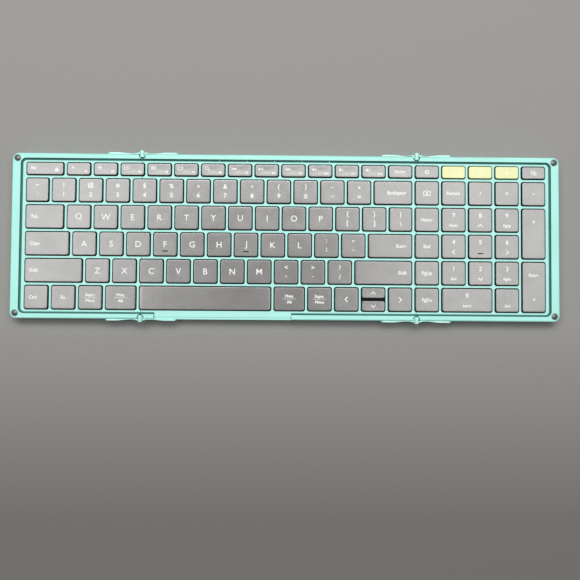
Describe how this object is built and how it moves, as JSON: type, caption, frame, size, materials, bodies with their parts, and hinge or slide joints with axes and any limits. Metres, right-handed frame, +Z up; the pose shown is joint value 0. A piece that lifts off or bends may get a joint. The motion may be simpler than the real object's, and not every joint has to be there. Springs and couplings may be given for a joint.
{
  "type": "folding keyboard",
  "caption": "Slim three-panel folding keyboard whose two side panels fold in over the middle one, with scissor keys, a number pad and pin hinges.",
  "frame": {"origin": "middle of the footprint of the open keyboard, on the surface that its feet stand on", "axes": "+X along the key rows to the right, +Y to the rear edge away from the typist, +Z up out of the keys"},
  "size_m": [0.388, 0.121, 0.012],
  "materials": {
    "mint_shell": "satin moulded",
    "mint_deck": "satin moulded",
    "mint_metal": "satin paint",
    "charcoal_keycap": "satin, finely textured",
    "yellow_keycap": "satin, finely textured",
    "black_rubber": "matt",
    "plate_steel": "black coated",
    "screw_steel": "blackened",
    "link_plastic": "moulded",
    "dome_rubber": "matt",
    "legend_ink": "printed",
    "board_green": "solder resist",
    "battery_foil": "pouch foil",
    "port_steel": "drawn shell",
    "flex_copper": "polyimide film",
    "magnet_nickel": "nickel plated"
  },
  "bodies": {
    "left_panel": {"left_bottom_cover": "mint_shell", "left_rim_frame": "mint_shell", "left_key_deck": "mint_deck", "left_support_plate": "plate_steel", "left_dome_sheet": "dome_rubber", "left_scissor_links": "link_plastic", "left_hinge_leaves": "mint_metal", "left_hinge_pins": "screw_steel", "left_corner_bumpers": "black_rubber", "left_feet": "black_rubber", "left_screws": "screw_steel", "left_magnets": "magnet_nickel"},
    "middle_panel": {"middle_bottom_cover": "mint_shell", "middle_rim_frame": "mint_shell", "middle_key_deck": "mint_deck", "middle_support_plate": "plate_steel", "middle_dome_sheet": "dome_rubber", "middle_scissor_links": "link_plastic", "middle_hinge_leaves": "mint_metal", "middle_feet": "black_rubber", "middle_screws": "screw_steel", "main_board": "board_green", "battery": "battery_foil", "usb_c_port": "port_steel", "left_flex_cable": "flex_copper", "right_flex_cable": "flex_copper"},
    "right_panel": {"right_bottom_cover": "mint_shell", "right_rim_frame": "mint_shell", "right_key_deck": "mint_deck", "right_support_plate": "plate_steel", "right_dome_sheet": "dome_rubber", "right_scissor_links": "link_plastic", "right_hinge_leaves": "mint_metal", "right_hinge_pins": "screw_steel", "right_corner_bumpers": "black_rubber", "right_feet": "black_rubber", "right_screws": "screw_steel", "right_magnets": "magnet_nickel"},
    "left_function_keys": {"left_function_keys": "charcoal_keycap"},
    "left_number_keys": {"left_number_keys": "charcoal_keycap"},
    "left_letter_keys": {"left_letter_keys": "charcoal_keycap"},
    "tab_key": {"tab_key": "charcoal_keycap"},
    "caps_lock_key": {"caps_lock_key": "charcoal_keycap"},
    "left_shift_key": {"left_shift_key": "charcoal_keycap"},
    "left_modifier_keys": {"left_modifier_keys": "charcoal_keycap"},
    "middle_function_keys": {"middle_function_keys": "charcoal_keycap"},
    "middle_number_keys": {"middle_number_keys": "charcoal_keycap"},
    "middle_letter_keys": {"middle_letter_keys": "charcoal_keycap"},
    "backspace_key": {"backspace_key": "charcoal_keycap"},
    "enter_key": {"enter_key": "charcoal_keycap"},
    "right_shift_key": {"right_shift_key": "charcoal_keycap"},
    "space_bar": {"space_bar": "charcoal_keycap"},
    "middle_modifier_keys": {"middle_modifier_keys": "charcoal_keycap"},
    "arrow_keys": {"arrow_keys": "charcoal_keycap"},
    "channel_keys": {"channel_keys": "yellow_keycap"},
    "navigation_keys": {"navigation_keys": "charcoal_keycap"},
    "number_pad_keys": {"number_pad_keys": "charcoal_keycap"},
    "pad_zero_key": {"pad_zero_key": "charcoal_keycap"},
    "pad_plus_key": {"pad_plus_key": "charcoal_keycap"},
    "pad_enter_key": {"pad_enter_key": "charcoal_keycap"}
  },
  "joints": [
    {"name": "fold_left", "type": "hinge", "parent": "middle_panel", "child": "left_panel", "pos_m": [-0.10235, 0, 0.01045], "axis": [0, 1, 0], "range_deg": [0, 180], "deforming": ["left_flex_cable"]},
    {"name": "fold_right", "type": "hinge", "parent": "middle_panel", "child": "right_panel", "pos_m": [0.09225, 0, 0.01045], "axis": [0, -1, 0], "range_deg": [0, 180], "deforming": ["right_flex_cable"]},
    {"name": "press_left_function_keys", "type": "slide", "parent": "left_panel", "child": "left_function_keys", "axis": [0, 0, -1], "range_m": [0, 0.0012], "stiffness_N_per_m": 1400, "springref_m": -0.0003},
    {"name": "press_left_number_keys", "type": "slide", "parent": "left_panel", "child": "left_number_keys", "axis": [0, 0, -1], "range_m": [0, 0.0012], "stiffness_N_per_m": 1400, "springref_m": -0.0003},
    {"name": "press_left_letter_keys", "type": "slide", "parent": "left_panel", "child": "left_letter_keys", "axis": [0, 0, -1], "range_m": [0, 0.0012], "stiffness_N_per_m": 2800, "springref_m": -0.0003, "deforming": ["left_dome_sheet", "left_scissor_links"]},
    {"name": "press_tab_key", "type": "slide", "parent": "left_panel", "child": "tab_key", "axis": [0, 0, -1], "range_m": [0, 0.0012], "stiffness_N_per_m": 350, "springref_m": -0.0003},
    {"name": "press_caps_lock_key", "type": "slide", "parent": "left_panel", "child": "caps_lock_key", "axis": [0, 0, -1], "range_m": [0, 0.0012], "stiffness_N_per_m": 350, "springref_m": -0.0003},
    {"name": "press_left_shift_key", "type": "slide", "parent": "left_panel", "child": "left_shift_key", "axis": [0, 0, -1], "range_m": [0, 0.0012], "stiffness_N_per_m": 350, "springref_m": -0.0003},
    {"name": "press_left_modifier_keys", "type": "slide", "parent": "left_panel", "child": "left_modifier_keys", "axis": [0, 0, -1], "range_m": [0, 0.0012], "stiffness_N_per_m": 1400, "springref_m": -0.0003},
    {"name": "press_middle_function_keys", "type": "slide", "parent": "middle_panel", "child": "middle_function_keys", "axis": [0, 0, -1], "range_m": [0, 0.0012], "stiffness_N_per_m": 3500, "springref_m": -0.0003},
    {"name": "press_middle_number_keys", "type": "slide", "parent": "middle_panel", "child": "middle_number_keys", "axis": [0, 0, -1], "range_m": [0, 0.0012], "stiffness_N_per_m": 3150, "springref_m": -0.0003},
    {"name": "press_middle_letter_keys", "type": "slide", "parent": "middle_panel", "child": "middle_letter_keys", "axis": [0, 0, -1], "range_m": [0, 0.0012], "stiffness_N_per_m": 9100, "springref_m": -0.0003},
    {"name": "press_backspace_key", "type": "slide", "parent": "middle_panel", "child": "backspace_key", "axis": [0, 0, -1], "range_m": [0, 0.0012], "stiffness_N_per_m": 350, "springref_m": -0.0003},
    {"name": "press_enter_key", "type": "slide", "parent": "middle_panel", "child": "enter_key", "axis": [0, 0, -1], "range_m": [0, 0.0012], "stiffness_N_per_m": 350, "springref_m": -0.0003},
    {"name": "press_right_shift_key", "type": "slide", "parent": "middle_panel", "child": "right_shift_key", "axis": [0, 0, -1], "range_m": [0, 0.0012], "stiffness_N_per_m": 350, "springref_m": -0.0003},
    {"name": "press_space_bar", "type": "slide", "parent": "middle_panel", "child": "space_bar", "axis": [0, 0, -1], "range_m": [0, 0.0012], "stiffness_N_per_m": 350, "springref_m": -0.0003, "deforming": ["middle_dome_sheet", "middle_scissor_links"]},
    {"name": "press_middle_modifier_keys", "type": "slide", "parent": "middle_panel", "child": "middle_modifier_keys", "axis": [0, 0, -1], "range_m": [0, 0.0012], "stiffness_N_per_m": 700, "springref_m": -0.0003},
    {"name": "press_arrow_keys", "type": "slide", "parent": "middle_panel", "child": "arrow_keys", "axis": [0, 0, -1], "range_m": [0, 0.0012], "stiffness_N_per_m": 1400, "springref_m": -0.0003},
    {"name": "press_channel_keys", "type": "slide", "parent": "right_panel", "child": "channel_keys", "axis": [0, 0, -1], "range_m": [0, 0.0012], "stiffness_N_per_m": 1050, "springref_m": -0.0003},
    {"name": "press_navigation_keys", "type": "slide", "parent": "right_panel", "child": "navigation_keys", "axis": [0, 0, -1], "range_m": [0, 0.0012], "stiffness_N_per_m": 2450, "springref_m": -0.0003},
    {"name": "press_number_pad_keys", "type": "slide", "parent": "right_panel", "child": "number_pad_keys", "axis": [0, 0, -1], "range_m": [0, 0.0012], "stiffness_N_per_m": 4900, "springref_m": -0.0003, "deforming": ["right_dome_sheet", "right_scissor_links"]},
    {"name": "press_pad_zero_key", "type": "slide", "parent": "right_panel", "child": "pad_zero_key", "axis": [0, 0, -1], "range_m": [0, 0.0012], "stiffness_N_per_m": 350, "springref_m": -0.0003},
    {"name": "press_pad_plus_key", "type": "slide", "parent": "right_panel", "child": "pad_plus_key", "axis": [0, 0, -1], "range_m": [0, 0.0012], "stiffness_N_per_m": 350, "springref_m": -0.0003},
    {"name": "press_pad_enter_key", "type": "slide", "parent": "right_panel", "child": "pad_enter_key", "axis": [0, 0, -1], "range_m": [0, 0.0012], "stiffness_N_per_m": 350, "springref_m": -0.0003}
  ]
}
